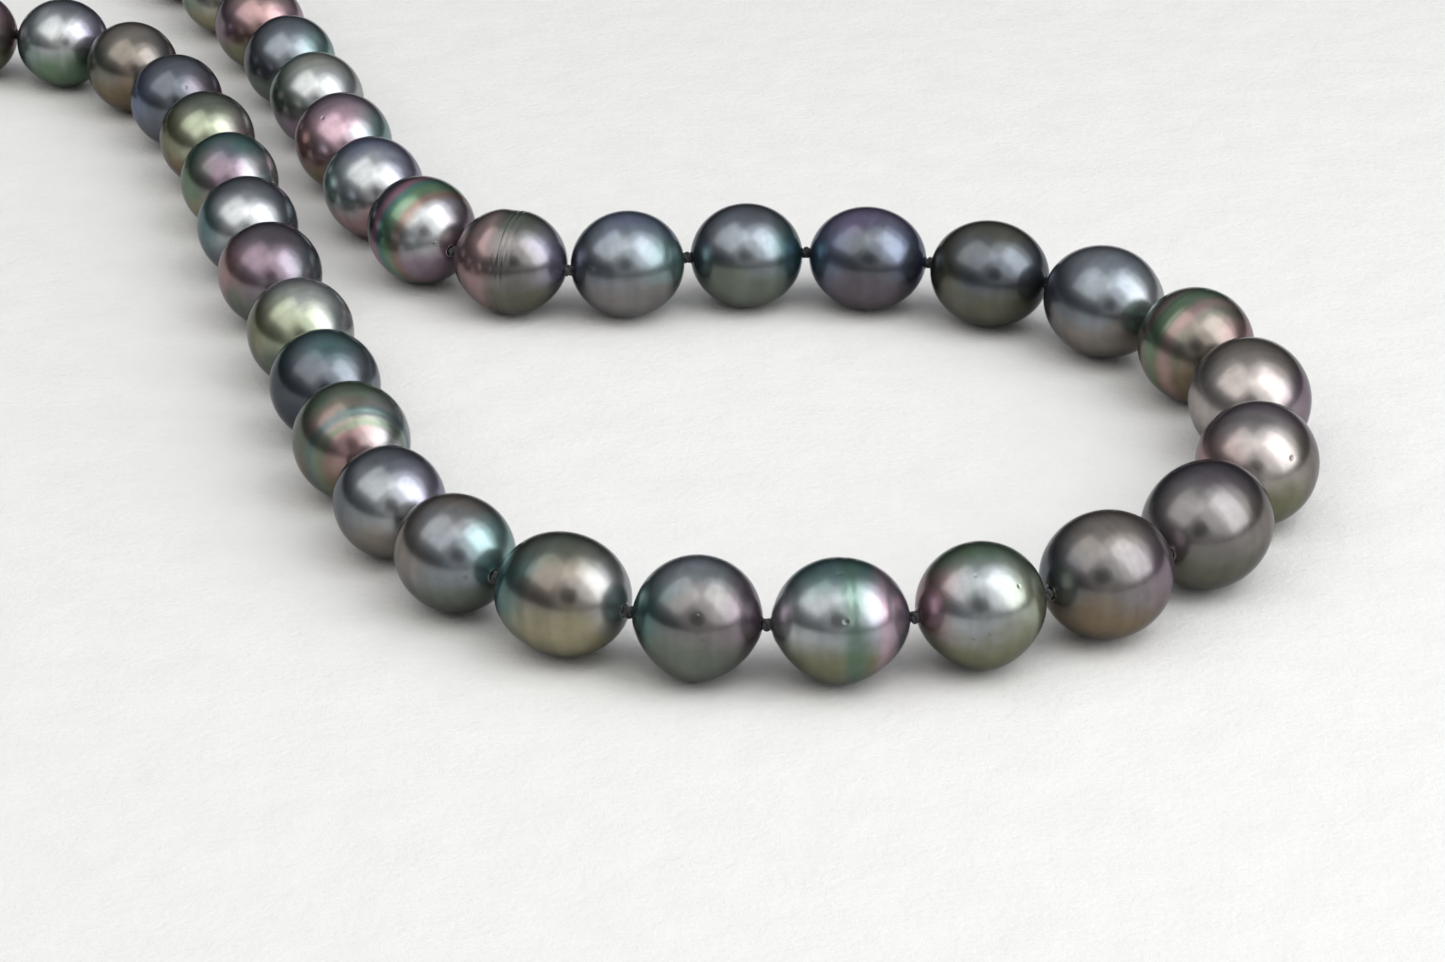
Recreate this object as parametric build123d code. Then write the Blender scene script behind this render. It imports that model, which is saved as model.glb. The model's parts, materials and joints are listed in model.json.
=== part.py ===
from build123d import *
import math
import os

# A graduated strand of dark pearls, knotted on silk between every two pearls, laid out unfastened on a
# flat surface. Each pearl hinges about the knot that it shares with the pearl nearer the middle.

# Driving dimensions, in millimetres
PEARL_COUNT = 39
MIDDLE = 20                 # the number of the largest pearl, counted from the tab end
MIDDLE_RADIUS = 6.05
RADIUS_STEP = 0.055         # each pearl is this much smaller than its neighbour towards the middle
PEARL_GAP = 0.8             # clear space between two pearls, filled by the knot
KNOT_RADIUS = 0.7
COUNTERSINK_RADIUS = 0.75   # the drilled hole's mouth, a running clearance round the knot
BORE_RADIUS = 0.45
SILK_RADIUS = 0.4           # the doubled thread

# No two pearls grow alike: radius off the even graduation, and length over diameter by shape
ODD_RADIUS = {
    10: 0.45, 12: 0.15, 13: -0.3, 14: -0.15, 22: 0.15, 25: -0.2, 26: -0.27, 27: -0.15, 29: 0.1, 30: 0.25,
}
ROUND_PEARLS = (2, 5, 16, 18, 23, 34, 37)
LONG_PEARLS = (15, 20, 24, 25, 26, 31, 32, 36)
DROP_PEARL = 10
RINGED_PEARL = 29
USUAL_LENGTH = 1.07
ROUND_LENGTH = 1.02
LONG_LENGTH = 1.135
DROP_LENGTH = 1.15
DROP_TAPER = 0.09           # the drop narrows towards the tab end
NECK_DEPTH = 0.05           # the growth ring under the drop's head
NECK_PLACE = -0.45          # along the drop, from -1 to 1
RING_DEPTH = 0.03           # the growth ring round the ringed pearl
RING_PLACE = 0.05
RING_WIDTH = 0.16
OUTLINE_STEPS = 18

# The line that the strand lies on, seen from above, from the tab end to the claw end
ROUTE = [
    (-103.5, 97), (-88, 102.5), (-73, 98), (-62.5, 84), (-55, 65), (-50, 45), (-42.5, 21), (-36, -3),
    (-24.5, -26), (-2, -38), (24, -35.5), (46, -20.5), (52.5, 6.5), (39.5, 29), (15.5, 40), (3, 41),
    (-9, 38), (-20, 36.5), (-29.5, 42), (-35.8, 52), (-41, 67), (-46.5, 84), (-54, 104),
    (-64, 124), (-78, 146), (-90, 160),
]
ROUTE_START = 0             # how far along the line the tab end's knot lies
STEPPING_ROUNDS = 6         # corrections of each step along the line, which turn it into a straight span

# End loops of gimp, a fine coil of wire that guards the silk
GIMP_RADIUS = 0.4
GIMP_BEND_RADIUS = 1.2      # centre line of the far bend
GIMP_LENGTH = 5.4           # end knot to the bend's centre
GIMP_START = 1.3            # end knot to where the two legs part
THROAT_CENTRE = 1.25        # end knot to the middle of the binding round the two legs
THROAT_LENGTH = 0.7

# The eyes that hang in the gimp loops, and the catch tab
EYE_HOLE_RADIUS = 1.0
EYE_RADIUS = 1.9
EDGE_ROUNDING = 0.3         # outer edges of the cast parts
HOLE_ROUNDING = 0.1         # edges of their holes
BEND_HEIGHT = 1.7           # the gimp bends' centres above the surface
TAB_THICKNESS = 1.0
CATCH_HOLE_RADIUS = 2.0
CATCH_RADIUS = 3.1
CATCH_OFFSET = 4.4          # small eye's centre to large eye's centre

# Claw clasp in its own frame: X from the eye to the hook, the lever on the -Y side, Z through it
CLAW_THICKNESS = 2 * BEND_HEIGHT
CLAW_CENTRE = 7.8
CLAW_HALF_LENGTH = 5.8
CLAW_HALF_WIDTH = 4.0
CLAW_ROUNDING = 0.8
MOUTH_CENTRE = (9.1, -0.2)
MOUTH_HALF_LENGTH = 3.1
MOUTH_HALF_WIDTH = 2.3
MOUTH_EDGE_LIMIT = 18       # the mouth's edges are shorter than this and the claw's outer ones longer
EYE_THICKNESS = 1.1
NECK_LENGTH = 1.7           # from inside the eye's rim into the claw
NECK_CENTRE = 2.05
NECK_WIDTH = 2.0
PIVOT_X = 4.6
PIVOT_Y = -1.9
PIN_RADIUS = 0.4
PIN_CLEARANCE = 0.05
HUB_RADIUS = 1.2
LEVER_REACH = 7.0           # pivot to the lever's tip
LEVER_GAP = 0.1             # clearance round the lever
LEVER_THICKNESS = 1.3
ARM_THICKNESS = 2.4
ARM_WIDTH = 1.35
ARM_START = 6.5             # the arm is thick from here to its tip
CHEEK_END = 6.3             # the cheeks over the pivot end here
CHEEK_TOP = -0.9            # the gap for the lever is below this
SLOT_SIZE = (3.8, 5.8)
SLOT_TOP = -0.3
SPRING_INNER_RADIUS = 1.38
SPRING_THICKNESS = 0.2
SPRING_WIDTH = 1.0
SPRING_END = 0.2            # both of the strip's ends stop this far above the pivot
SPRING_FOOT_LENGTH = 0.5
THUMB_X = -0.4              # the thumb piece's middle, off the pivot
THUMB_LENGTH = 3.2
THUMB_WIDTH = 1.3
THUMB_END_RADIUS = 0.85
BIG = 12                    # side of the squares that trim a plan


def pearl_radius(number):
    return MIDDLE_RADIUS - RADIUS_STEP * abs(number - MIDDLE) + ODD_RADIUS.get(number, 0)


def pearl_half_length(number):
    ratio = USUAL_LENGTH
    if number in ROUND_PEARLS:
        ratio = ROUND_LENGTH
    elif number in LONG_PEARLS:
        ratio = LONG_LENGTH
    elif number == DROP_PEARL:
        ratio = DROP_LENGTH
    return ratio * pearl_radius(number)


def next_knot(line, along, span):
    """How far along the line the next knot lies, where the two are the span apart in a straight line."""
    here = line.position_at(along, position_mode=PositionMode.LENGTH)
    step = span
    for _ in range(STEPPING_ROUNDS):
        there = line.position_at(along + step, position_mode=PositionMode.LENGTH)
        step += span - (there - here).length
    return along + step


def knot_points():
    """The 40 knots from the tab end to the claw end, and the level way on from each end."""
    line = Spline(*[Vector(x, y, 0) for x, y in ROUTE])
    stops = [ROUTE_START]
    for number in range(1, PEARL_COUNT + 1):
        stops.append(next_knot(line, stops[-1], 2 * pearl_half_length(number) + PEARL_GAP))
    radii = [widest_radius(number) for number in range(1, PEARL_COUNT + 1)]
    heights = [(a + b) / 2 for a, b in zip(radii[:1] + radii, radii + radii[-1:])]
    knots = []
    for stop, height in zip(stops, heights):
        spot = line.position_at(stop, position_mode=PositionMode.LENGTH)
        knots.append(Vector(spot.X, spot.Y, height))
    tab_way = line.tangent_at(stops[0], position_mode=PositionMode.LENGTH) * -1
    claw_way = line.tangent_at(stops[-1], position_mode=PositionMode.LENGTH)
    return knots, tab_way, claw_way


def lying_plane(origin, way):
    """A plane with X along the way given, Y level and Z up, or nearly up where the way slopes."""
    level = Vector(-way.Y, way.X, 0)
    return Plane(origin=origin, x_dir=way, z_dir=way.cross(level))


def share_of_oval(number, u):
    """A shaped pearl's radius as a share of the plain oval's, at u from -1 to 1 along its length."""
    if number == DROP_PEARL:
        neck = NECK_DEPTH * math.exp(-((u - NECK_PLACE) / RING_WIDTH) ** 2)
        return 1 - DROP_TAPER * (1 - u) ** 2 - neck
    return 1 - RING_DEPTH * math.exp(-((u - RING_PLACE) / RING_WIDTH) ** 2)


def shaped_outline(number):
    """Points of a shaped pearl's outline from one end to the other, with the bore along X."""
    radius = pearl_radius(number)
    half = pearl_half_length(number)
    turns = [math.pi * step / OUTLINE_STEPS for step in range(OUTLINE_STEPS + 1)]
    places = [(-math.cos(turn), math.sin(turn)) for turn in turns]
    return [Vector(half * u, radius * rise * share_of_oval(number, u)) for u, rise in places]


def widest_radius(number):
    if number in (DROP_PEARL, RINGED_PEARL):
        return max(point.Y for point in shaped_outline(number))
    return pearl_radius(number)


def pearl_section(number):
    """Half of the pearl's section, with the bore along X."""
    half = pearl_half_length(number)
    if number in (DROP_PEARL, RINGED_PEARL):
        rim = Edge.make_spline(shaped_outline(number))
    else:
        rim = Edge.make_ellipse(half, pearl_radius(number), start_angle=0, end_angle=180)
    return make_face([rim, Edge.make_line((-half, 0), (half, 0))])


def pearl(number, first, second):
    """A drilled pearl between two knots. It rests on the surface, so its bore may be a little off centre."""
    middle = (first + second) * 0.5
    reach = (second - first).length / 2
    body = revolve(pearl_section(number), Axis.X, 360)
    body = Pos(0, 0, widest_radius(number) - middle.Z) * body
    body -= Rot(0, 90, 0) * Cylinder(BORE_RADIUS, 4 * reach)
    for side in (-reach, reach):
        body -= Pos(side, 0, 0) * Sphere(COUNTERSINK_RADIUS)
    return lying_plane(middle, (second - first).normalized()) * body.solid()


def silk(first, second, knot_at_first, knot_at_second):
    """The thread in one pearl's bore, with the knots that this pearl carries."""
    length = (second - first).length
    thread = Pos(length / 2, 0, 0) * Rot(0, 90, 0) * Cylinder(SILK_RADIUS, length)
    for x, knotted in ((0, knot_at_first), (length, knot_at_second)):
        if knotted:
            thread += Pos(x, 0, 0) * Sphere(KNOT_RADIUS)
        else:
            thread -= Pos(x, 0, 0) * Sphere(COUNTERSINK_RADIUS)
    return lying_plane(first, (second - first).normalized()) * thread.solid()


def gimp_bend(knot, way):
    """Centre of the gimp loop's far bend, ahead of the end knot and down by the surface."""
    drop = knot.Z - BEND_HEIGHT
    return Vector(knot.X, knot.Y, BEND_HEIGHT) + way * math.sqrt(GIMP_LENGTH ** 2 - drop ** 2)


def gimp_loop(knot, bend):
    """A long loop in the upright plane, from the end knot round the eye's rim and back."""
    along = (bend - knot).normalized()
    upright = Plane(origin=knot, x_dir=along, z_dir=along.cross(Vector(0, 0, 1)))
    lean = math.asin((GIMP_BEND_RADIUS - GIMP_RADIUS) / (GIMP_LENGTH - GIMP_START))
    over = Vector(-math.sin(lean), math.cos(lean))
    start = Vector(GIMP_START, 0) + over * GIMP_RADIUS
    turn = Vector(GIMP_LENGTH, 0) + over * GIMP_BEND_RADIUS
    upper = Edge.make_line(start, turn)
    tip = Vector(GIMP_LENGTH + GIMP_BEND_RADIUS, 0)
    bend_arc = Edge.make_three_point_arc(turn, tip, Vector(turn.X, -turn.Y))
    lower = Edge.make_line(Vector(turn.X, -turn.Y), Vector(start.X, -start.Y))
    section = Plane(origin=start, z_dir=turn - start) * Circle(GIMP_RADIUS)
    loop = sweep(section, path=Wire([upper, bend_arc, lower]))
    loop += Pos(THROAT_CENTRE, 0, 0) * Rot(0, 90, 0) * Cylinder(2 * GIMP_RADIUS, THROAT_LENGTH)
    return upright * loop.solid()


def tab_plane(bend, way):
    """The catch tab leans on the gimp's lower leg and on the surface."""
    rim_middle = (EYE_HOLE_RADIUS + EYE_RADIUS) / 2
    span = rim_middle + CATCH_OFFSET + CATCH_RADIUS
    slope = math.asin((BEND_HEIGHT - TAB_THICKNESS / 2) / span)
    down = way * math.cos(slope) - Vector(0, 0, math.sin(slope))
    return lying_plane(bend + down * rim_middle, down)


def rounded(solid, radius):
    """The solid with the edges of its top and bottom faces rounded."""
    levels = solid.edges().group_by(Axis.Z)
    return fillet(levels[0] + levels[-1], radius)


def hole(radius, thickness):
    """What a hole with rounded edges takes away."""
    cut = Cylinder(radius, thickness)
    flare = Cylinder(radius + HOLE_ROUNDING, HOLE_ROUNDING)
    edge = Torus(radius + HOLE_ROUNDING, HOLE_ROUNDING)
    for side in (-1, 1):
        flare_at = Pos(0, 0, side * (thickness - HOLE_ROUNDING) / 2) * flare
        cut += flare_at - Pos(0, 0, side * (thickness / 2 - HOLE_ROUNDING)) * edge
    return cut


def catch_tab():
    """Flat tab with two eyes: the small one at the origin, the large one along X."""
    tab = Cylinder(EYE_RADIUS, TAB_THICKNESS)
    tab += Pos(CATCH_OFFSET, 0, 0) * Cylinder(CATCH_RADIUS, TAB_THICKNESS)
    tab = rounded(tab.solid(), EDGE_ROUNDING)
    tab -= hole(EYE_HOLE_RADIUS, TAB_THICKNESS)
    tab -= Pos(CATCH_OFFSET, 0, 0) * hole(CATCH_HOLE_RADIUS, TAB_THICKNESS)
    return tab.solid()


def claw_oval(inset):
    return Pos(CLAW_CENTRE, 0) * Ellipse(CLAW_HALF_LENGTH - inset, CLAW_HALF_WIDTH - inset)


def claw_body():
    """The fixed half of the clasp: eye, two cheeks over the lever's pivot, and the hook."""
    pivot = Pos(PIVOT_X, PIVOT_Y, 0)
    body = rounded(extrude(claw_oval(0), CLAW_THICKNESS / 2, both=True).solid(), CLAW_ROUNDING)
    mouth = Pos(*MOUTH_CENTRE) * Ellipse(MOUTH_HALF_LENGTH, MOUTH_HALF_WIDTH)
    body -= extrude(mouth, CLAW_THICKNESS, both=True)
    inner_edges = [edge for edge in body.edges() if edge.length < MOUTH_EDGE_LIMIT]
    body = fillet(inner_edges, EDGE_ROUNDING)
    lever_side = Pos(CHEEK_END + BIG / 2, CHEEK_TOP - BIG / 2) * Rectangle(BIG, BIG)
    lever_side &= Pos(PIVOT_X, PIVOT_Y) * Circle(LEVER_REACH + LEVER_GAP)
    body -= extrude(lever_side, CLAW_THICKNESS, both=True)
    slot = Box(SLOT_SIZE[0], SLOT_SIZE[1], LEVER_THICKNESS + 2 * LEVER_GAP)
    body -= Pos(PIVOT_X, SLOT_TOP - SLOT_SIZE[1] / 2, 0) * slot
    body += rounded(Cylinder(EYE_RADIUS, EYE_THICKNESS).solid(), EDGE_ROUNDING)
    body += Pos(NECK_CENTRE, 0, 0) * Box(NECK_LENGTH, NECK_WIDTH, EYE_THICKNESS)
    body -= hole(EYE_HOLE_RADIUS, EYE_THICKNESS)
    body -= pivot * Cylinder(PIN_RADIUS, CLAW_THICKNESS)
    return body.solid()


def claw_lever():
    """Hub on the pin, thumb piece outside, and the arm that closes the hook from within."""
    pivot = Pos(PIVOT_X, PIVOT_Y)
    arm = claw_oval(0.05) - claw_oval(ARM_WIDTH)
    arm &= Pos(PIVOT_X + BIG / 2, PIVOT_Y - BIG / 2) * Rectangle(BIG, BIG)
    arm &= pivot * Circle(LEVER_REACH)
    thumb = pivot * Pos(THUMB_X, -THUMB_LENGTH / 2) * Rectangle(THUMB_WIDTH, THUMB_LENGTH)
    thumb += pivot * Pos(THUMB_X, -THUMB_LENGTH) * Circle(THUMB_END_RADIUS)
    lever = extrude(arm + pivot * Circle(HUB_RADIUS), LEVER_THICKNESS / 2, both=True)
    lever += rounded(extrude(thumb, LEVER_THICKNESS / 2, both=True).solid(), EDGE_ROUNDING)
    thick = arm & Pos(ARM_START + BIG / 2, -BIG / 2) * Rectangle(BIG, BIG)
    lever += rounded(extrude(thick, ARM_THICKNESS / 2, both=True).solid(), EDGE_ROUNDING)
    lever -= pivot * Cylinder(PIN_RADIUS + PIN_CLEARANCE, CLAW_THICKNESS)
    return lever.solid()


def claw_pin():
    return (Pos(PIVOT_X, PIVOT_Y, 0) * Cylinder(PIN_RADIUS, CLAW_THICKNESS)).solid()


def claw_spring():
    """A strip bent over the hub: a foot against the slot's end wall, and a free end for the open arm."""
    ring = Circle(SPRING_INNER_RADIUS + SPRING_THICKNESS) - Circle(SPRING_INNER_RADIUS)
    strip = ring & Pos(0, SPRING_END + BIG / 2) * Rectangle(BIG, BIG)
    foot_x = (SPRING_FOOT_LENGTH - SLOT_SIZE[0]) / 2
    foot = Pos(foot_x, SPRING_END + SPRING_THICKNESS / 2) * Rectangle(SPRING_FOOT_LENGTH, SPRING_THICKNESS)
    strip += foot
    return extrude(Pos(PIVOT_X, PIVOT_Y) * strip, SPRING_WIDTH / 2, both=True).solid()


def necklace():
    """Every node's solids where the strand lies, and the planes and points that its joints turn about."""
    knots, tab_way, claw_way = knot_points()
    nodes = {}
    for number in range(1, PEARL_COUNT + 1):
        first, second = knots[number - 1:number + 1]
        thread = silk(first, second, number <= MIDDLE, number >= MIDDLE)
        nodes[f"pearl_{number:02d}"] = [pearl(number, first, second), thread]
    tab_bend = gimp_bend(knots[0], tab_way)
    claw_bend = gimp_bend(knots[-1], claw_way)
    nodes["gimp_loop_tab_end"] = [gimp_loop(knots[0], tab_bend)]
    nodes["gimp_loop_claw_end"] = [gimp_loop(knots[-1], claw_bend)]
    tab_at = tab_plane(tab_bend, tab_way)
    claw_at = lying_plane(claw_bend + claw_way * (EYE_HOLE_RADIUS + EYE_RADIUS) / 2, claw_way)
    nodes["catch_tab"] = [tab_at * catch_tab()]
    nodes["clasp_body"] = [claw_at * claw_body()]
    nodes["clasp_lever"] = [claw_at * claw_lever()]
    nodes["clasp_pin"] = [claw_at * claw_pin()]
    nodes["clasp_spring"] = [claw_at * claw_spring()]
    return nodes, knots, tab_at, claw_at


def centre_shift(nodes):
    """The move that puts the middle of the whole object's box over the origin and its foot at Z = 0."""
    box = Compound([solid for solids in nodes.values() for solid in solids]).bounding_box()
    return Vector(-(box.min.X + box.max.X) / 2, -(box.min.Y + box.max.Y) / 2, -box.min.Z)


nodes, knots, tab_at, claw_at = necklace()
shift = centre_shift(nodes)
os.makedirs("parts", exist_ok=True)
for node, solids in nodes.items():
    placed = [Pos(shift.X, shift.Y, shift.Z) * solid for solid in solids]
    shape = placed[0] if len(placed) == 1 else Compound(children=placed)
    export_step(shape, os.path.join("parts", node + ".step"))
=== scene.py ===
import json
import math

import bpy
import numpy as np
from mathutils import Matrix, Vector, noise


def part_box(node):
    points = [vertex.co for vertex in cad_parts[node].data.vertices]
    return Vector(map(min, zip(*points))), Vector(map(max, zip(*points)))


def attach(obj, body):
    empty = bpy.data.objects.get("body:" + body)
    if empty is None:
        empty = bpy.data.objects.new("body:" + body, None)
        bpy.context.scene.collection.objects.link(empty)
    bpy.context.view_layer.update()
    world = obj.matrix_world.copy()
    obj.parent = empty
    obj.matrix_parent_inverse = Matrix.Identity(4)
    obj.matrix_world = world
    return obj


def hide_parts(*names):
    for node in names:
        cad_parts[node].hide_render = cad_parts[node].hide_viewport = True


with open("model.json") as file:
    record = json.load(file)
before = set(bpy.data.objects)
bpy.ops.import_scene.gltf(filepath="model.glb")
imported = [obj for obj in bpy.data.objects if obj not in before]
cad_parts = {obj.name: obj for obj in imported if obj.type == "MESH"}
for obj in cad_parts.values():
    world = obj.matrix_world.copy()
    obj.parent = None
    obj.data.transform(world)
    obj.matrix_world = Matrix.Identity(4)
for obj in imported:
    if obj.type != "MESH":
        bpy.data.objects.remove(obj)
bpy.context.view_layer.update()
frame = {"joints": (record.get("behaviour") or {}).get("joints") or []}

MM = 0.001
PEARL_COUNT = 39
MIDDLE = 20                      # the pearl that the whole strand hangs from
PEARL_GAP = 0.8 * MM
BORE_RADIUS = 0.45 * MM
BORE_SHOWN = 1.2 * MM            # how far in the bore's wall is modelled
MOUTH = 0.75 * MM                # radius of the hollow that each knot sits in
MOUTH_EDGE = 0.634 * MM          # radius at which that hollow meets the pearl's skin
MOUTH_WAIST = 0.55 * MM          # radius of the mesh ring half way down the hollow
SETTLING = 1.6 * MM              # how far from the bore the pearl's own lumps come in fully

DROP_PEARL = 10
DROP_TAPER = 0.09                # the drop narrows towards the tab end
NECK_DEPTH = 0.05                # the growth ring under the drop's head
NECK_PLACE = -0.45
RINGED_PEARL = 29
RING_DEPTH = 0.03                # the growth ring round the ringed pearl
RING_PLACE = 0.05
RING_WIDTH = 0.16

PLY_RADIUS = 0.22 * MM           # each of the silk's two plies
PLY_OFFSET = 0.16 * MM           # from the thread's middle to a ply's
PLY_TWIST = 0.42 * MM            # thread to one radian of twist
PLY_STEPS = 40
PLY_CLEARANCE = 0.02 * MM
KNOT_CORD = 0.23 * MM            # radius of the cord that a knot is tied in
KNOT_LOOP = (0.31 * MM, 0.12 * MM, 0.24 * MM)
KNOT_STEPS = 66

GIMP_RADIUS = 0.4 * MM
GIMP_WIRE = 0.075 * MM
GIMP_PITCH = 0.165 * MM
GIMP_BEND_RADIUS = 1.2 * MM
GIMP_LENGTH = 5.4 * MM           # end knot to the bend's centre
GIMP_FORK = 1.3 * MM             # end knot to where the two legs part
GIMP_START = 1.0 * MM
LEG_STEPS = 12
BEND_STEPS = 24
BEND_HEIGHT = 1.7 * MM           # the bend's centre, above what the strand lies on
WHIPPING_RADIUS = 0.62 * MM      # silk wound round the two legs of a gimp loop
WHIPPING_CORD = 0.17 * MM
WHIPPING_PITCH = 0.24 * MM
WHIPPING_PLACES = (0.95 * MM, 1.25 * MM, 1.55 * MM)
THROAT_RADIUS = 0.3 * MM         # the silk between the knot and the two legs
THROAT_PLACES = (0.45 * MM, 1.3 * MM)

RINGS_ALONG = 60                 # mesh rings along a pearl
GROOVED_RINGS = 150              # along one with growth rings cut round it
STEPS_ROUND = 96                 # mesh steps round a pearl


# ---------------------------------------------------------------- places, from the frame

def joint_places():
    """Each joint's point and axis by the joint's name."""
    return {j["name"]: (Vector(j["pos_m"]), Vector(j["axis"])) for j in frame["joints"]}


def knot_places(joints):
    """The 40 knots in order, from the tab end to the claw end."""
    knots = [joints["tab_loop_lift"][0]]
    for number in range(1, PEARL_COUNT):
        kind = "sideways" if number % 2 else "lift"
        knots.append(joints[f"knot_{number:02d}_{kind}"][0])
    knots.append(joints["claw_loop_lift"][0])
    return knots


def pearl_name(number):
    return f"pearl_{number:02d}"


# ---------------------------------------------------------------- mesh helpers

def new_piece(name, vertices, faces, material, smooth=True):
    mesh = bpy.data.meshes.new(name)
    mesh.from_pydata([tuple(v) for v in vertices], [], faces)
    mesh.validate()
    if smooth:
        mesh.polygons.foreach_set("use_smooth", [True] * len(mesh.polygons))
    mesh.materials.append(material)
    piece = bpy.data.objects.new(name, mesh)
    bpy.context.collection.objects.link(piece)
    return piece


def tube(path, radius, sides, closed=False, cap=True):
    """Vertices and faces of a round tube along a list of points, with a frame that doesn't twist."""
    path = [Vector(p) for p in path]
    count = len(path)
    ways = []
    for i in range(count):
        before = path[i - 1] if (closed or i) else path[i]
        after = path[(i + 1) % count] if (closed or i < count - 1) else path[i]
        ways.append((after - before).normalized())
    across = ways[0].orthogonal().normalized()
    vertices = []
    for spot, way in zip(path, ways):
        across = (across - way * across.dot(way)).normalized()
        other = way.cross(across)
        for s in range(sides):
            turn = 2 * math.pi * s / sides
            vertices.append(spot + radius * (math.cos(turn) * across + math.sin(turn) * other))
    faces = []
    spans = count if closed else count - 1
    for i in range(spans):
        a, b = i * sides, ((i + 1) % count) * sides
        for s in range(sides):
            t = (s + 1) % sides
            faces.append((a + s, a + t, b + t, b + s))
    if cap and not closed:
        faces.append(tuple(reversed(range(sides))))
        faces.append(tuple(range((count - 1) * sides, count * sides)))
    return vertices, faces


def joined(parts):
    """Several (vertices, faces) lists as one."""
    vertices, faces = [], []
    for part_vertices, part_faces in parts:
        start = len(vertices)
        vertices += part_vertices
        faces += [tuple(start + i for i in face) for face in part_faces]
    return vertices, faces


# ---------------------------------------------------------------- materials

TONES = {
    "ink": (0.20, 0.24, 0.28), "slate": (0.36, 0.39, 0.43), "steel": (0.48, 0.52, 0.56),
    "silver": (0.68, 0.70, 0.71), "blue": (0.40, 0.46, 0.60), "teal": (0.28, 0.46, 0.46),
    "aqua": (0.50, 0.67, 0.66), "green": (0.37, 0.50, 0.37), "moss": (0.38, 0.42, 0.36),
    "pistachio": (0.60, 0.64, 0.52), "olive": (0.45, 0.45, 0.32), "gold": (0.58, 0.55, 0.40),
    "bronze": (0.48, 0.40, 0.28), "copper": (0.60, 0.43, 0.34), "rose": (0.64, 0.48, 0.48),
    "pink": (0.74, 0.58, 0.65), "mauve": (0.52, 0.43, 0.50), "lavender": (0.60, 0.58, 0.69),
    "violet": (0.44, 0.39, 0.55), "aubergine": (0.36, 0.32, 0.36), "taupe": (0.50, 0.46, 0.42),
    "khaki": (0.36, 0.36, 0.29), "smoke": (0.46, 0.44, 0.44), "peacock": (0.22, 0.58, 0.50),
    "leaf": (0.40, 0.66, 0.42), "fuchsia": (0.80, 0.48, 0.62), "oyster": (0.65, 0.61, 0.59),
    "pewter": (0.57, 0.60, 0.62), "fern": (0.27, 0.45, 0.36),
}

# A pearl's overtones as they lie on it: middle, rim, left, right, top, bottom. They are partly the pearl's
# own colour and partly painted light as the camera sees it: the rim and middle tones paint the sheen, and
# in many pearls the right tone is lighter as a painted highlight and the left tone darker as a painted dark
# reflection.
OVERTONES_AND_PAINTED_LIGHT = {
    1: "steel olive slate silver teal moss",
    2: "mauve moss green rose violet olive",
    3: "silver steel teal lavender slate green",
    4: "taupe olive moss smoke taupe bronze",
    5: "slate aubergine blue mauve slate slate",
    6: "pistachio olive olive oyster moss bronze",
    7: "mauve olive green silver teal gold",
    8: "silver steel teal steel slate slate",
    9: "mauve aubergine rose steel aubergine moss",
    10: "pistachio moss olive silver silver moss",
    11: "slate ink ink steel teal ink",
    12: "rose green moss silver green bronze",
    13: "pewter slate slate lavender slate taupe",
    14: "steel slate taupe aqua taupe moss",
    15: "taupe olive teal silver moss gold",
    16: "smoke green teal mauve steel moss",
    17: "pewter moss silver lavender teal olive",
    18: "pewter moss rose pistachio green olive",
    19: "smoke khaki slate mauve taupe bronze",
    20: "smoke aubergine smoke taupe aubergine khaki",
    21: "oyster mauve rose taupe smoke olive",
    22: "oyster taupe oyster mauve taupe taupe",
    23: "taupe olive green rose green bronze",
    24: "steel steel slate silver steel taupe",
    25: "slate khaki khaki slate khaki khaki",
    26: "slate aubergine blue blue violet aubergine",
    27: "steel slate slate teal slate moss",
    28: "steel slate slate aqua blue smoke",
    29: "smoke moss rose lavender moss khaki",
    30: "silver aubergine ink mauve aubergine mauve",
    31: "silver mauve aqua lavender blue rose",
    32: "pink mauve rose aqua mauve bronze",
    33: "silver mauve green silver pistachio mauve",
    34: "steel ink slate aqua slate moss",
    35: "rose taupe mauve pink taupe olive",
    36: "silver moss green steel teal gold",
    37: "slate aubergine violet slate blue mauve",
    38: "pistachio olive green gold moss bronze",
    39: "lavender slate blue silver steel mauve",
}

# Bands of colour round a pearl, each as place along the bore from -1 to 1, half width and tone
BANDS = {
    12: ((0.52, 0.07, "teal"), (0.68, 0.05, "green")),
    17: ((0.12, 0.13, "fern"), (0.62, 0.12, "pink")),
    21: ((0.1, 0.16, "mauve"),),
    23: ((-0.35, 0.10, "rose"), (-0.05, 0.09, "green"), (0.25, 0.08, "rose")),
    29: ((0.34, 0.18, "rose"),),
    30: ((-0.46, 0.08, "copper"), (-0.27, 0.10, "leaf"), (-0.10, 0.08, "peacock"), (0.06, 0.08, "fuchsia")),
    33: ((0.2, 0.12, "aqua"),),
    2: ((-0.2, 0.12, "rose"),),
    36: ((0.3, 0.12, "teal"),),
}

# Pinpricks in the skin, each as right, up and size as a share of the radius, seen from the front
PRICKS = {
    14: ((0.22, -0.36, 0.075),),
    16: ((0.08, -0.30, 0.055), (0.14, -0.40, 0.03), (0.02, 0.08, 0.03)),
    17: ((-0.02, 0.72, 0.05), (0.05, 0.0, 0.05)),
    18: ((-0.12, 0.46, 0.035), (0.52, 0.30, 0.035), (-0.15, -0.50, 0.04), (0.08, -0.42, 0.035)),
    21: ((0.45, 0.10, 0.05),),
    24: ((0.25, -0.25, 0.04),),
    30: ((0.30, -0.28, 0.05), (0.50, -0.12, 0.04)),
    32: ((-0.35, 0.45, 0.04),),
    5: ((0.3, 0.2, 0.05),),
    36: ((-0.2, 0.4, 0.05), (0.3, -0.1, 0.03)),
}

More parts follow.
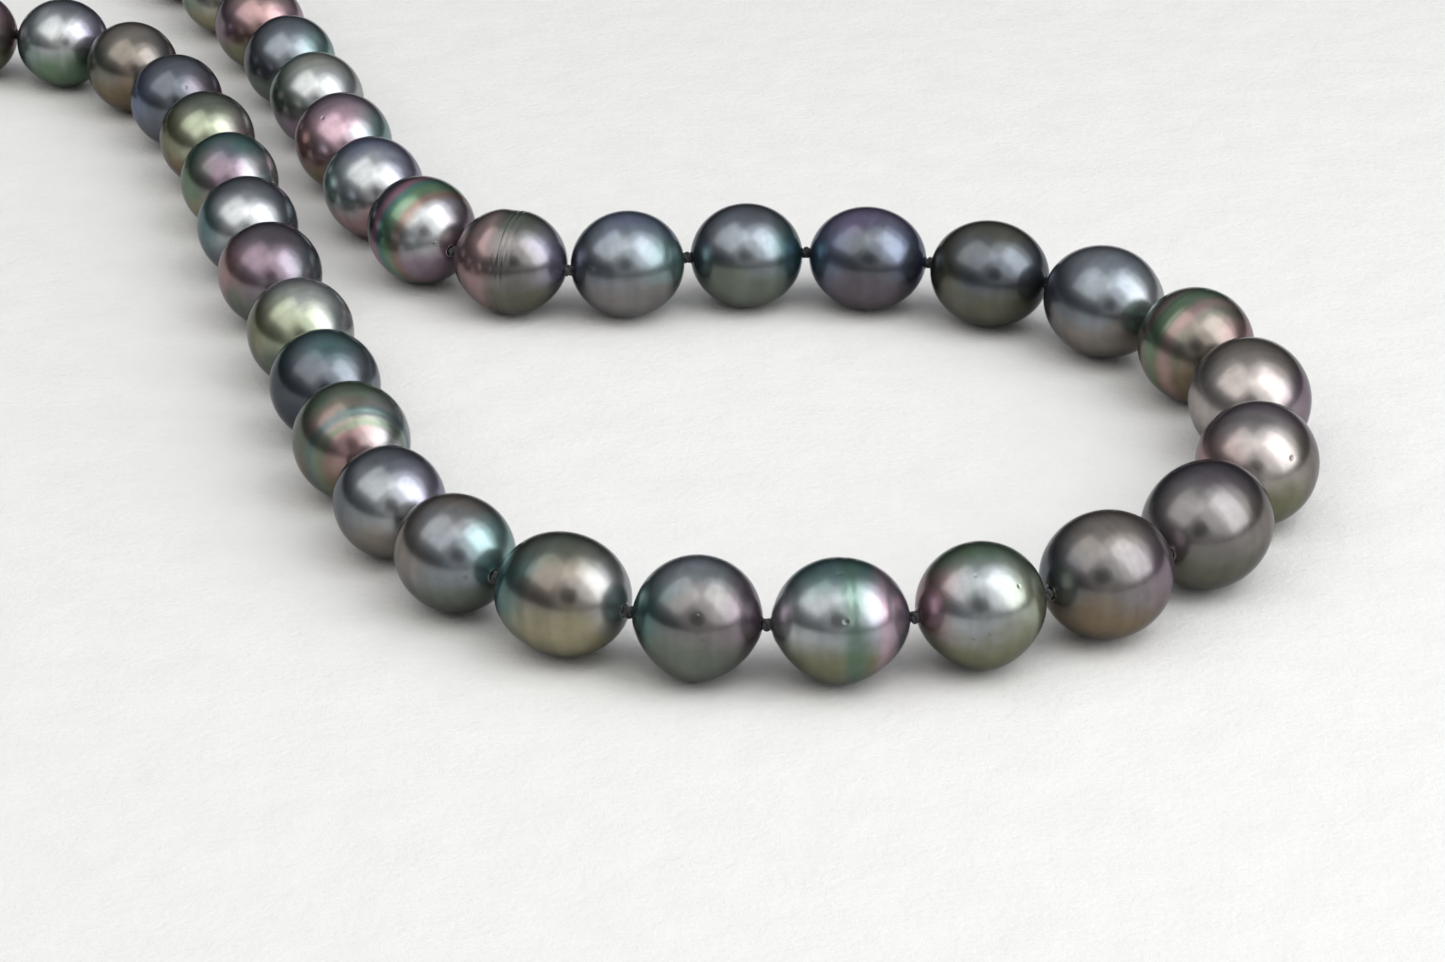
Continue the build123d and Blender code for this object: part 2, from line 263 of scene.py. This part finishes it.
# Growth rings cut round a pearl, each as place along the bore, depth and half width
GROOVES = {
    10: ((-0.62, 0.020, 0.035), (-0.45, 0.040, 0.045), (-0.33, 0.015, 0.03)),
    12: ((0.55, 0.008, 0.04), (0.70, 0.007, 0.03)),
    17: ((0.10, 0.010, 0.05),),
    23: ((-0.20, 0.004, 0.04), (0.10, 0.004, 0.04)),
    29: ((-0.15, 0.024, 0.026), (-0.06, 0.020, 0.024), (-0.25, 0.006, 0.04)),
    30: ((-0.45, 0.008, 0.05),),
}

# Pearls that grew to a blunt tip off the bore: the tip's way, right and up, and how marked it is
TIPS = {
    15: (-1.0, -0.3, 0.02), 16: (-0.1, -1.0, 0.035), 17: (-0.05, -1.0, 0.04), 18: (0.1, -1.0, 0.03),
    24: (0.9, -0.5, 0.02), 29: (0.0, -1.0, 0.03), 33: (-0.4, -1.0, 0.03), 3: (0.2, -1.0, 0.03),
}

# How lumpy a pearl is, as a share of its radius
LUMPS = {15: 0.014, 16: 0.018, 17: 0.026, 18: 0.018, 10: 0.02, 24: 0.012, 30: 0.016, 32: 0.014}
USUAL_LUMPS = 0.008
LUMP_SIZE = 0.9                  # how close together the lumps are
GROOVE_SHARE = 0.6               # of its full depth, for the meshed part of a growth ring

SOFTNESS = 0.30                  # how far every tone is drawn towards its own grey
DEPTH = 0.95                     # how dark the nacre is
GAMMA = 2.2


def linear(tone):
    """A tone as linear light, drawn towards its own grey."""
    grey = sum(TONES[tone]) / 3
    return tuple((DEPTH * (part + SOFTNESS * (grey - part))) ** GAMMA for part in TONES[tone])


def node_tree(name):
    material = bpy.data.materials.new(name)
    material.use_nodes = True
    material.node_tree.nodes.clear()
    return material, material.node_tree.nodes, material.node_tree.links


def give(links, slot, value):
    """Sets a socket to a number or a colour, or links another socket to it."""
    if isinstance(value, bpy.types.NodeSocket):
        links.new(value, slot)
    elif isinstance(value, tuple) and len(value) == 3 and len(slot.default_value) == 4:
        slot.default_value = (*value, 1)
    else:
        slot.default_value = value


def sum_of(nodes, links, operation, *values):
    node = nodes.new("ShaderNodeMath")
    node.operation = operation
    for slot, value in zip(node.inputs, values):
        give(links, slot, value)
    return node.outputs[0]


def vector_of(nodes, links, operation, *values):
    node = nodes.new("ShaderNodeVectorMath")
    node.operation = operation
    for slot, value in zip(node.inputs, values):
        give(links, slot, value)
    return node.outputs["Value" if operation in ("DOT_PRODUCT", "LENGTH", "DISTANCE") else "Vector"]


def ramp(nodes, links, value, low, high):
    """From 0 to 1, smoothly, as the value goes from low to high."""
    node = nodes.new("ShaderNodeMapRange")
    node.interpolation_type = "SMOOTHSTEP"
    give(links, node.inputs["Value"], value)
    node.inputs["From Min"].default_value = low
    node.inputs["From Max"].default_value = high
    return node.outputs["Result"]


def mixed(nodes, links, share, a, b):
    node = nodes.new("ShaderNodeMix")
    node.data_type = "RGBA"
    give(links, node.inputs[0], share)
    give(links, node.inputs[6], a)
    give(links, node.inputs[7], b)
    return node.outputs[2]


def noise_at(nodes, links, place, scale, detail=2.0, roughness=0.5):
    node = nodes.new("ShaderNodeTexNoise")
    give(links, node.inputs["Vector"], place)
    node.inputs["Scale"].default_value = scale
    node.inputs["Detail"].default_value = detail
    node.inputs["Roughness"].default_value = roughness
    return node


def lines_at(nodes, links, place, scale, detail):
    """Noise that changes only with one number, which makes lines round a pearl."""
    node = nodes.new("ShaderNodeTexNoise")
    node.noise_dimensions = "1D"
    give(links, node.inputs["W"], place)
    node.inputs["Scale"].default_value = scale
    node.inputs["Detail"].default_value = detail
    return node.outputs["Fac"]


def bump(nodes, links, height, strength, distance, under=None):
    node = nodes.new("ShaderNodeBump")
    node.inputs["Strength"].default_value = strength
    node.inputs["Distance"].default_value = distance
    give(links, node.inputs["Height"], height)
    if under is not None:
        links.new(under, node.inputs["Normal"])
    return node.outputs["Normal"]


def finish_material(nodes, links, **values):
    shader = nodes.new("ShaderNodeBsdfPrincipled")
    output = nodes.new("ShaderNodeOutputMaterial")
    links.new(shader.outputs[0], output.inputs["Surface"])
    for name, value in values.items():
        give(links, shader.inputs[name.replace("_", " ")], value)


# Ways across a pearl as the camera sees the strand lie: to the right, up, and out towards its near side,
# the camera's side. The nacre's painted sheen, painted highlight and painted dark reflection are laid out
# along them.
LOOK_DEGREES = 27.9
LOOK_DOWN = math.radians(LOOK_DEGREES)
RIGHT = (1.0, 0.0, 0.0)
UP = (0.0, math.sin(LOOK_DOWN), math.cos(LOOK_DOWN))
NEAR = (0.0, -math.cos(LOOK_DOWN), math.sin(LOOK_DOWN))

# How the overtones, with their painted sheen, painted highlight and painted dark reflection, lie: each
# ramp's ends, on a pearl that reaches from -1 to 1
RIM_TO_MIDDLE = (0.15, 0.85)
TO_SIDE = (0.15, 0.95)
TO_TOP = (0.25, 0.95)
TO_BOTTOM = (-0.1, -0.7)
DRIFT = 0.9                      # how far the overtones wander
WAVER = 0.16                     # how far the bands and lines wander
BAND_SHARE = 0.7                 # how much of a band's tone shows
BAND_EDGE = (2.2, 0.1)           # a band fades out from the second to the first, in half widths
MOTTLE = 0.86                    # brightness of the mottled patches
SILKY = (0.94, 1.10)             # brightness of the growth lines, from dark to light
PRICK_DARKNESS = 0.55


def nacre(number, bore):
    """Dark nacre whose overtones drift across the pearl, with its own bands and pinpricks, and with a
    painted sheen, painted highlight and painted dark reflection laid out as the camera sees it.
    """
    material, nodes, links = node_tree(f"nacre_{number:02d}")
    middle, rim, left, right, top, bottom = [linear(tone) for tone in OVERTONES_AND_PAINTED_LIGHT[number].split()]
    coordinates = nodes.new("ShaderNodeTexCoord")
    place = vector_of(nodes, links, "SUBTRACT", coordinates.outputs["Generated"], (0.5, 0.5, 0.5))
    place = vector_scaled(nodes, links, place, 2.0)
    own = vector_of(nodes, links, "ADD", place, (1.7 * number, 0.9 * number, 2.3 * number))
    drift = noise_at(nodes, links, own, 1.1, 2.0).outputs["Color"]
    drift = vector_of(nodes, links, "SUBTRACT", drift, (0.5, 0.5, 0.5))
    drift = vector_scaled(nodes, links, drift, DRIFT)
    warped = vector_of(nodes, links, "ADD", place, drift)
    across = vector_of(nodes, links, "DOT_PRODUCT", warped, RIGHT)
    upward = vector_of(nodes, links, "DOT_PRODUCT", warped, UP)
    facing = vector_of(nodes, links, "DOT_PRODUCT", warped, NEAR)
    # painted sheen: from the rim tone to the middle tone as the skin turns to face the camera
    colour = mixed(nodes, links, ramp(nodes, links, facing, *RIM_TO_MIDDLE), rim, middle)
    # left and right tones, partly the pearl's own colour: in many pearls a painted dark reflection on the
    # left and a painted highlight on the right
    colour = mixed(nodes, links, ramp(nodes, links, across, -TO_SIDE[0], -TO_SIDE[1]), colour, left)
    colour = mixed(nodes, links, ramp(nodes, links, across, *TO_SIDE), colour, right)
    colour = mixed(nodes, links, ramp(nodes, links, upward, *TO_TOP), colour, top)
    colour = mixed(nodes, links, ramp(nodes, links, upward, *TO_BOTTOM), colour, bottom)
    along = vector_of(nodes, links, "DOT_PRODUCT", place, tuple(bore))
    waver = sum_of(nodes, links, "MULTIPLY", noise_at(nodes, links, own, 1.6).outputs["Fac"], WAVER)
    wavy = sum_of(nodes, links, "ADD", along, waver)
    for spot, half_width, tone in BANDS.get(number, ()):
        off = sum_of(nodes, links, "SUBTRACT", wavy, spot + WAVER / 2)
        off = sum_of(nodes, links, "ABSOLUTE", off)
        share = ramp(nodes, links, off, BAND_EDGE[0] * half_width, BAND_EDGE[1] * half_width)
        share = sum_of(nodes, links, "MULTIPLY", share, BAND_SHARE)
        colour = mixed(nodes, links, share, colour, linear(tone))
    mottle = noise_at(nodes, links, own, 5.0, 4.0, 0.6).outputs["Fac"]
    colour = mixed(nodes, links, ramp(nodes, links, mottle, 0.35, 0.75), colour,
                   vector_scaled(nodes, links, colour, MOTTLE))
    rippled = sum_of(nodes, links, "ADD", along, sum_of(nodes, links, "MULTIPLY", waver, 0.6))
    rippled = sum_of(nodes, links, "ADD", rippled, 3.7 * number)
    silky = ramp(nodes, links, lines_at(nodes, links, rippled, 3.4, 1.2), 0.35, 0.65)
    colour = mixed(nodes, links, silky, vector_scaled(nodes, links, colour, SILKY[0]),
                   vector_scaled(nodes, links, colour, SILKY[1]))
    fine = lines_at(nodes, links, sum_of(nodes, links, "ADD", along, 0.25), 9.0, 3.0)
    normal = bump(nodes, links, fine, 0.25, 0.04 * MM)
    skin = noise_at(nodes, links, own, 14.0, 3.0).outputs["Fac"]
    normal = bump(nodes, links, skin, 0.10, 0.03 * MM, normal)
    for right_of, above, size in PRICKS.get(number, ()):
        depth = math.sqrt(max(0.0, 0.97 - right_of ** 2 - above ** 2))
        spot = [right_of * r + above * u + depth * n for r, u, n in zip(RIGHT, UP, NEAR)]
        off = vector_of(nodes, links, "DISTANCE", place, tuple(spot))
        dent = ramp(nodes, links, off, 0.3 * size, 1.4 * size)
        normal = bump(nodes, links, dent, 0.6, 0.09 * MM, normal)
        dark = ramp(nodes, links, off, 0.9 * size, 0.3 * size)
        dark = sum_of(nodes, links, "MULTIPLY", dark, PRICK_DARKNESS)
        colour = mixed(nodes, links, dark, colour, linear("aubergine"))
    finish_material(nodes, links, Base_Color=colour, Metallic=0.92, Roughness=0.27, IOR=1.45,
                    Specular_Tint=(0.4, 0.4, 0.42), Coat_Weight=0.5, Coat_Roughness=0.13,
                    Coat_IOR=1.4, Normal=normal)
    return material


def vector_scaled(nodes, links, value, scale):
    return vector_of(nodes, links, "MULTIPLY", value, (scale, scale, scale))


def silk_material():
    """Black two-ply silk, twisted."""
    material, nodes, links = node_tree("black_silk")
    coordinates = nodes.new("ShaderNodeTexCoord")
    fibres = noise_at(nodes, links, coordinates.outputs["Object"], 9000.0, 3.0).outputs["Fac"]
    colour = mixed(nodes, links, fibres, (0.006, 0.006, 0.007), (0.035, 0.033, 0.036))
    finish_material(nodes, links, Base_Color=colour, Roughness=0.62, Sheen_Weight=0.3,
                    Sheen_Roughness=0.4, Normal=bump(nodes, links, fibres, 0.5, 0.06 * MM))
    return material


def metal(name, tint, roughness, grain):
    """Worn, polished metal with a fine grain of handling marks."""
    material, nodes, links = node_tree(name)
    coordinates = nodes.new("ShaderNodeTexCoord")
    marks = noise_at(nodes, links, coordinates.outputs["Object"], grain, 5.0, 0.65).outputs["Fac"]
    worn = tuple(0.86 * part for part in tint)
    colour = mixed(nodes, links, ramp(nodes, links, marks, 0.4, 0.7), tint, worn)
    rough = sum_of(nodes, links, "MULTIPLY_ADD", marks, roughness, 0.6 * roughness)
    finish_material(nodes, links, Base_Color=colour, Metallic=1.0, Roughness=rough,
                    Normal=bump(nodes, links, marks, 0.05, 0.015 * MM))
    return material


# ---------------------------------------------------------------- pearls

def share_of_oval(number, u):
    """A shaped pearl's radius as a share of the plain oval's, at u from -1 to 1 along its length."""
    if number == DROP_PEARL:
        neck = NECK_DEPTH * math.exp(-((u - NECK_PLACE) / RING_WIDTH) ** 2)
        return 1 - DROP_TAPER * (1 - u) ** 2 - neck
    if number == RINGED_PEARL:
        return 1 - RING_DEPTH * math.exp(-((u - RING_PLACE) / RING_WIDTH) ** 2)
    return 1.0


def grooves_at(number, u):
    """How much the growth rings take off the radius, as a share."""
    return sum(GROOVE_SHARE * depth * math.exp(-((u - spot) / half_width) ** 2)
               for spot, depth, half_width in GROOVES.get(number, ()))


def pearl_outline(number, radius, half):
    """Distance along and radius of each mesh ring, from inside the bore at one end to the other end."""
    mouth = [(half + PEARL_GAP / 2 - math.sqrt(MOUTH ** 2 - off ** 2), off)
             for off in (BORE_RADIUS, MOUTH_WAIST, MOUTH_EDGE)]
    left = [(-half + BORE_SHOWN, BORE_RADIUS), *[(-along, off) for along, off in mouth]]
    rings = GROOVED_RINGS if number in GROOVES else RINGS_ALONG
    first = math.asin(1.03 * MOUTH_EDGE / radius)
    turns = [first + (math.pi - 2 * first) * step / rings for step in range(rings + 1)]
    rises = [math.sin(turn) * share_of_oval(number, -math.cos(turn)) for turn in turns]
    full = radius / max(rises)
    surface = []
    for turn, rise in zip(turns, rises):
        off = full * rise * (1 - grooves_at(number, -math.cos(turn)))
        surface.append((-half * math.cos(turn), max(off, 1.01 * MOUTH_EDGE)))
    right = [(-along, off) for along, off in reversed(left)]
    return left + surface + right


def pearl_mesh(number, first, second, radius, material):
    """The nacre of one pearl, drilled along the line between its two knots."""
    reach = second - first
    way = reach.normalized()
    half = (Vector((reach.x, reach.y, 0)).length - PEARL_GAP) / 2
    level = Vector((-way.y, way.x, 0)).normalized()
    over = way.cross(level)
    middle = (first + second) / 2
    lift = radius - middle.z
    lumps = LUMPS.get(number, USUAL_LUMPS)
    tip_right, tip_up, tip_share = TIPS.get(number, (0.0, -1.0, 0.0))
    tip = (tip_right * Vector(RIGHT) + tip_up * Vector(UP)).normalized()
    vertices = []
    outline = pearl_outline(number, radius, half)
    for along, off in outline:
        settled = min(1.0, max(0.0, (off - 1.04 * MOUTH_EDGE) / SETTLING))
        settled = settled * settled * (3 - 2 * settled)
        for step in range(STEPS_ROUND):
            turn = 2 * math.pi * step / STEPS_ROUND
            side = math.cos(turn) * level + math.sin(turn) * over
            spot = way * along + side * off
            own = spot / radius * LUMP_SIZE + Vector((3.1, 1.7, 0.6)) * number
            lump = 1 - lumps * settled * (0.5 + 0.5 * noise.noise(own))
            near_tip = tip.dot(spot.normalized())
            if near_tip > 0:
                lump -= tip_share * settled * 4 * near_tip ** 2 * (1 - near_tip ** 2)
            vertices.append(middle + spot * lump + over * lift * settled)
    faces = []
    for ring in range(len(outline) - 1):
        for step in range(STEPS_ROUND):
            a = ring * STEPS_ROUND + step
            b = ring * STEPS_ROUND + (step + 1) % STEPS_ROUND
            faces.append((a, b, b + STEPS_ROUND, a + STEPS_ROUND))
    return new_piece(f"nacre_{number:02d}", vertices, faces, material)


def knot_mesh(spot, way):
    """A tight overhand knot, pulled shut round its own thread."""
    level = Vector((-way.y, way.x, 0)).normalized()
    over = way.cross(level)
    big, small, long = KNOT_LOOP
    path = []
    for step in range(KNOT_STEPS):
        turn = 2 * math.pi * step / KNOT_STEPS
        out = big + small * math.cos(3 * turn)
        path.append(spot + way * long * math.sin(3 * turn)
                    + out * (math.cos(2 * turn) * level + math.sin(2 * turn) * over))
    return tube(path, KNOT_CORD, 9, closed=True)


def silk_mesh(number, first, second, material):
    """Two twisted plies of silk in the bore, and the knots that this pearl carries."""
    way = (second - first).normalized()
    length = (second - first).length
    level = Vector((-way.y, way.x, 0)).normalized()
    over = way.cross(level)
    from_first = 0.0 if number <= MIDDLE else MOUTH + PLY_CLEARANCE
    to_second = length if number >= MIDDLE else length - MOUTH - PLY_CLEARANCE
    parts = []
    for ply in (0, 1):
        path = []
        for step in range(PLY_STEPS + 1):
            along = from_first + (to_second - from_first) * step / PLY_STEPS
            turn = math.pi * ply + along / PLY_TWIST
            path.append(first + way * along
                        + PLY_OFFSET * (math.cos(turn) * level + math.sin(turn) * over))
        parts.append(tube(path, PLY_RADIUS, 8))
    if number <= MIDDLE:
        parts.append(knot_mesh(first, way))
    if number >= MIDDLE:
        parts.append(knot_mesh(second, way))
    return new_piece(f"silk_{number:02d}", *joined(parts), material)


# ---------------------------------------------------------------- gimp loops

def gimp_path(knot, bend):
    """The loop's centre line: out along the upper leg, round the bend and back."""
    along = (bend - knot).normalized()
    over = Vector((0, 0, 1)) - along * along.z
    over.normalize()
    lean = math.asin((GIMP_BEND_RADIUS - GIMP_RADIUS) / (GIMP_LENGTH - GIMP_FORK))
    path = []
    start = Vector((GIMP_START, GIMP_RADIUS * 0.94))
    centre = Vector((GIMP_LENGTH, 0))
    turn_at = centre + GIMP_BEND_RADIUS * Vector((-math.sin(lean), math.cos(lean)))
    for step in range(LEG_STEPS):
        path.append(start.lerp(turn_at, step / LEG_STEPS))
    for step in range(BEND_STEPS + 1):
        turn = math.pi / 2 + lean - (math.pi + 2 * lean) * step / BEND_STEPS
        path.append(centre + GIMP_BEND_RADIUS * Vector((math.cos(turn), math.sin(turn))))
    mirror = Vector((1, -1))
    for step in range(1, LEG_STEPS + 1):
        path.append((turn_at * mirror).lerp(start * mirror, step / LEG_STEPS))
    return [knot + along * spot.x + over * spot.y for spot in path], along


def coil(path, radius, wire, pitch, sides, steps_per_turn=12):
    """A wire wound in a close coil round a path."""
    lengths = [0.0]
    for a, b in zip(path, path[1:]):
        lengths.append(lengths[-1] + (b - a).length)
    turns = lengths[-1] / pitch
    count = int(turns * steps_per_turn)
    marks = np.linspace(0, lengths[-1], count + 1)
    spots = [np.interp(marks, lengths, [p[axis] for p in path]) for axis in range(3)]
    spots = [Vector(spot) for spot in zip(*spots)]
    ways = [(b - a).normalized() for a, b in zip(spots, spots[1:])]
    ways.append(ways[-1])
    across = ways[0].orthogonal().normalized()
    wound = []
    for step, (spot, way) in enumerate(zip(spots, ways)):
        across = (across - way * across.dot(way)).normalized()
        turn = 2 * math.pi * step / steps_per_turn
        wound.append(spot + radius * (math.cos(turn) * across + math.sin(turn) * way.cross(across)))
    return tube(wound, wire, sides)


def gimp_pieces(end, knot, way, wire_material, silk):
    """The coil of fine wire at one end of the strand, and the silk that binds its legs."""
    drop = knot.z - BEND_HEIGHT
    bend = Vector((knot.x, knot.y, BEND_HEIGHT)) + way * math.sqrt(GIMP_LENGTH ** 2 - drop ** 2)
    path, along = gimp_path(knot, bend)
    wire = coil(path, GIMP_RADIUS - GIMP_WIRE, GIMP_WIRE, GIMP_PITCH, 6)
    loop = new_piece(f"gimp_coil_{end}", *wire, wire_material)
    binding_path = [knot + along * spot for spot in WHIPPING_PLACES]
    binding = coil(binding_path, WHIPPING_RADIUS, WHIPPING_CORD, WHIPPING_PITCH, 7, 16)
    core = tube([knot + along * spot for spot in THROAT_PLACES], THROAT_RADIUS, 12)
    whipping = new_piece(f"silk_whipping_{end}", *joined([binding, core]), silk)
    return loop, whipping


# ---------------------------------------------------------------- the necklace

joints = joint_places()
knots = knot_places(joints)
silk = silk_material()
white_gold = metal("white_gold", (0.80, 0.79, 0.76), 0.16, 900.0)
gimp_wire = metal("gimp_wire", (0.74, 0.73, 0.70), 0.26, 2500.0)
spring_steel = metal("spring_steel", (0.52, 0.53, 0.55), 0.32, 1500.0)

for number in range(1, PEARL_COUNT + 1):
    name = pearl_name(number)
    low, high = [Vector(corner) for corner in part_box(name)]
    first, second = knots[number - 1], knots[number]
    bore = (second - first).normalized()
    skin = pearl_mesh(number, first, second, (high.z - low.z) / 2, nacre(number, bore))
    thread = silk_mesh(number, first, second, silk)
    for piece, slot in ((skin, "nacre"), (thread, "silk")):
        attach(piece, name)
        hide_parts(name)

tab_way = (joints["tab_swing"][0] - knots[0]).to_2d().to_3d().normalized()
claw_way = (joints["clasp_swing"][0] - knots[-1]).to_2d().to_3d().normalized()
for end, knot, way, body in (
    ("tab_end", knots[0], tab_way, "tab_loop"),
    ("claw_end", knots[-1], claw_way, "claw_loop"),
):
    for piece, slot in zip(gimp_pieces(end, knot, way, gimp_wire, silk), ("gimp", "silk")):
        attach(piece, body)
        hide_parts(f"gimp_loop_{end}")

for name, material in (
    ("catch_tab", white_gold),
    ("clasp_body", white_gold),
    ("clasp_lever", white_gold),
    ("clasp_pin", white_gold),
    ("clasp_spring", spring_steel),
):
    node = bpy.data.objects[name]
    for held in node.material_slots:
        held.link = "OBJECT"
        held.material = material


# ---------------------------------------------------------------- floor, light and camera

AIM = Vector((28.1, -60.8, 0)) * MM          # the spot on the floor that the camera looks at
DISTANCE = 456 * MM
LENS = 115.9
SENSOR = 36
SHADE_RADIUS = 120 * MM
SHADE_BEHIND = 20 * MM                       # from the camera back to the dark disc
DAYLIGHT = (0.98, 0.99, 1.0)
WARM_LIGHT = (1.0, 0.98, 0.94)
FLOOR_REACH = 2
FLOOR_TOP = -0.02 * MM
ROOM_STRENGTH = 0.8


def felt():
    """Plain near-white felt."""
    material, nodes, links = node_tree("felt")
    coordinates = nodes.new("ShaderNodeTexCoord")
    nap = noise_at(nodes, links, coordinates.outputs["Object"], 1400.0, 4.0, 0.7).outputs["Fac"]
    broad = noise_at(nodes, links, coordinates.outputs["Object"], 160.0, 3.0).outputs["Fac"]
    colour = mixed(nodes, links, broad, (0.60, 0.595, 0.585), (0.645, 0.64, 0.63))
    normal = bump(nodes, links, nap, 0.5, 0.25 * MM)
    normal = bump(nodes, links, broad, 0.4, 0.8 * MM, normal)
    finish_material(nodes, links, Base_Color=colour, Roughness=0.95, Specular_IOR_Level=0.15,
                    Normal=normal)
    return material


def towards(azimuth, elevation):
    """A way out from the strand: azimuth 0 is towards the camera's side, and goes round to its right."""
    turn, rise = math.radians(azimuth), math.radians(elevation)
    return Vector((math.sin(turn) * math.cos(rise), -math.cos(turn) * math.cos(rise), math.sin(rise)))


def softbox(name, shape, azimuth, elevation, distance, width, height, power, colour):
    lamp = bpy.data.lights.new(name, "AREA")
    lamp.shape = shape
    lamp.size = width
    lamp.size_y = height
    lamp.energy = power
    lamp.color = colour
    holder = bpy.data.objects.new(name, lamp)
    way = towards(azimuth, elevation)
    holder.location = AIM + way * distance
    holder.rotation_euler = way.to_track_quat("Z", "Y").to_euler()
    bpy.context.collection.objects.link(holder)


def dark_disc(name, centre, facing, radius):
    """What stands round the camera: it keeps light off the pearls and is seen in them."""
    material, nodes, links = node_tree("dark_cloth")
    finish_material(nodes, links, Base_Color=(0.02, 0.02, 0.022), Roughness=0.9)
    across = facing.orthogonal().normalized()
    over = facing.cross(across)
    steps = 48
    vertices = [centre + radius * (math.cos(2 * math.pi * s / steps) * across
                                   + math.sin(2 * math.pi * s / steps) * over) for s in range(steps)]
    disc = new_piece(name, vertices, [tuple(range(steps))], material)
    disc.visible_camera = False
    disc.visible_shadow = False
    return disc


corners = [(x * FLOOR_REACH, y * FLOOR_REACH, FLOOR_TOP) for x, y in ((-1, -1), (1, -1), (1, 1), (-1, 1))]
floor = new_piece("floor", corners, [(0, 1, 2, 3)], felt(), smooth=False)
sight = towards(0, LOOK_DEGREES)
disc = dark_disc("camera_shade", AIM + sight * (DISTANCE + SHADE_BEHIND), sight, SHADE_RADIUS)

softbox("window_right", "RECTANGLE", azimuth=66, elevation=42, distance=0.6,
        width=0.40, height=0.72, power=2.3, colour=DAYLIGHT)
softbox("window_glow", "ELLIPSE", azimuth=60, elevation=48, distance=0.58,
        width=0.95, height=1.05, power=2.6, colour=DAYLIGHT)
softbox("panel_left", "RECTANGLE", azimuth=-64, elevation=58, distance=0.6,
        width=0.62, height=0.60, power=1.6, colour=WARM_LIGHT)

world = bpy.data.worlds.new("room")
world.use_nodes = True
nodes, links = world.node_tree.nodes, world.node_tree.links
nodes.clear()
coordinates = nodes.new("ShaderNodeTexCoord")
split = nodes.new("ShaderNodeSeparateXYZ")
links.new(coordinates.outputs["Generated"], split.inputs[0])
sky = mixed(nodes, links, ramp(nodes, links, split.outputs["Z"], 0.05, 0.9),
            (0.03, 0.03, 0.035), (0.80, 0.82, 0.85))
in_front = vector_of(nodes, links, "DOT_PRODUCT", coordinates.outputs["Generated"], tuple(towards(12, 38)))
sky = mixed(nodes, links, ramp(nodes, links, in_front, 0.60, 0.98), sky, (0.95, 0.94, 0.91))
background = nodes.new("ShaderNodeBackground")
links.new(sky, background.inputs["Color"])
background.inputs["Strength"].default_value = ROOM_STRENGTH
output = nodes.new("ShaderNodeOutputWorld")
links.new(background.outputs[0], output.inputs["Surface"])

scene = bpy.context.scene
scene.world = world
scene.view_settings.view_transform = "Standard"
camera_data = bpy.data.cameras.new("camera")
camera_data.lens = LENS
camera_data.sensor_width = SENSOR
camera_data.clip_start = 0.01
camera = bpy.data.objects.new("camera", camera_data)
camera.location = AIM + sight * DISTANCE
camera.rotation_euler = sight.to_track_quat("Z", "Y").to_euler()
bpy.context.collection.objects.link(camera)
scene.camera = camera
